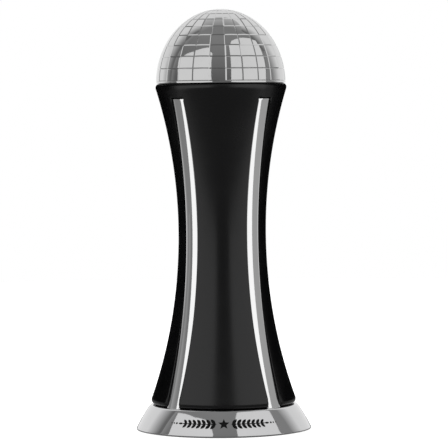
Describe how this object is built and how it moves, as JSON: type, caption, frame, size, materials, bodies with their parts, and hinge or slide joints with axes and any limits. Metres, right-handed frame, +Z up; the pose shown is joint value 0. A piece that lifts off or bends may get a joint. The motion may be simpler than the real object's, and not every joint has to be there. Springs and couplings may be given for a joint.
{
  "type": "column trophy",
  "caption": "Waisted black column trophy with inlaid bright strips, a mirror-tiled dome on top and a conical bright base.",
  "frame": {"origin": "centre of the pad's underside, on the column's axis, at the level the trophy rests on", "axes": "+Z up along the column; the front, midway between two strips, faces -Y; +X is to the right as seen from the front"},
  "size_m": [0.104, 0.104, 0.25],
  "materials": {
    "mirror_tile": "metallised moulded plastic, flat tiles with bevelled grooves",
    "chrome_plate": "bright chrome plate",
    "black_column": "satin black moulded plastic",
    "black_moulding": "plain black moulding",
    "zinc_steel": "zinc plated",
    "weight_steel": "plain turned steel",
    "foam_tape": "double-sided foam tape",
    "pad_foam": "closed-cell foam"
  },
  "bodies": {
    "root": {"dome_shell": "mirror_tile", "dome_screws": "zinc_steel", "top_cap": "black_moulding", "tie_rod": "zinc_steel", "rod_top_washer": "zinc_steel", "rod_top_nut": "zinc_steel", "rod_jam_nut": "zinc_steel", "column_shell": "black_column", "strip_front_left": "chrome_plate", "strip_front_right": "chrome_plate", "strip_rear_left": "chrome_plate", "strip_rear_right": "chrome_plate", "tape_front_left": "foam_tape", "tape_front_right": "foam_tape", "tape_rear_left": "foam_tape", "tape_rear_right": "foam_tape", "base_ring": "chrome_plate", "base_weight": "weight_steel", "rod_bottom_washer": "zinc_steel", "rod_lock_washer": "zinc_steel", "rod_bottom_nut": "zinc_steel", "base_pad": "pad_foam"}
  },
  "joints": []
}
